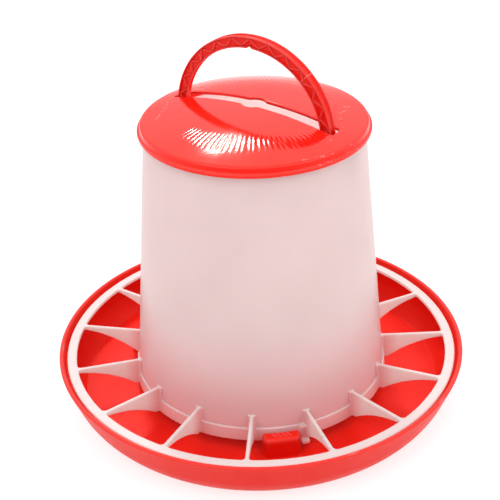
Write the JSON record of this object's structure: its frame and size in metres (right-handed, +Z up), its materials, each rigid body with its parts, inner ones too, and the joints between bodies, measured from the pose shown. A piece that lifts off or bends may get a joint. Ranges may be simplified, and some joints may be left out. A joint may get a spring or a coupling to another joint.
{
  "type": "poultry gravity feeder",
  "caption": "Gravity feeder for poultry: round feed pan with an anti-waste fin grid, tapered hopper, slotted domed lid and arched carrying handle.",
  "frame": {"origin": "centre of the feed pan's underside", "axes": "+Z up along the hopper's axis, +X along the carrying handle's plane, through the slot's length"},
  "size_m": [0.24, 0.24, 0.2164],
  "materials": {
    "pan_plastic": "glossy red polypropylene",
    "grid_plastic": "glossy natural white polypropylene",
    "hopper_plastic": "glossy translucent natural polypropylene",
    "lid_plastic": "glossy red polypropylene with faint radial ripples",
    "handle_plastic": "glossy red polypropylene"
  },
  "bodies": {
    "pan": {"feed_pan": "pan_plastic"},
    "hopper": {"hopper_tube": "hopper_plastic", "feed_grid": "grid_plastic"},
    "lid": {"lid": "lid_plastic"},
    "handle": {"handle": "handle_plastic"}
  },
  "joints": [
    {"name": "hopper_twist", "type": "hinge", "parent": "pan", "child": "hopper", "pos_m": [0, 0, 0.01], "axis": [0, 0, 1], "range_deg": [-3, 3]},
    {"name": "handle_rock", "type": "hinge", "parent": "hopper", "child": "handle", "pos_m": [0, 0, 0.159], "axis": [1, 0, 0], "range_deg": [-3.5, 3.5]},
    {"name": "lid_lift", "type": "slide", "parent": "hopper", "child": "lid", "axis": [0, 0, 1], "range_m": [0, 0.075]}
  ]
}
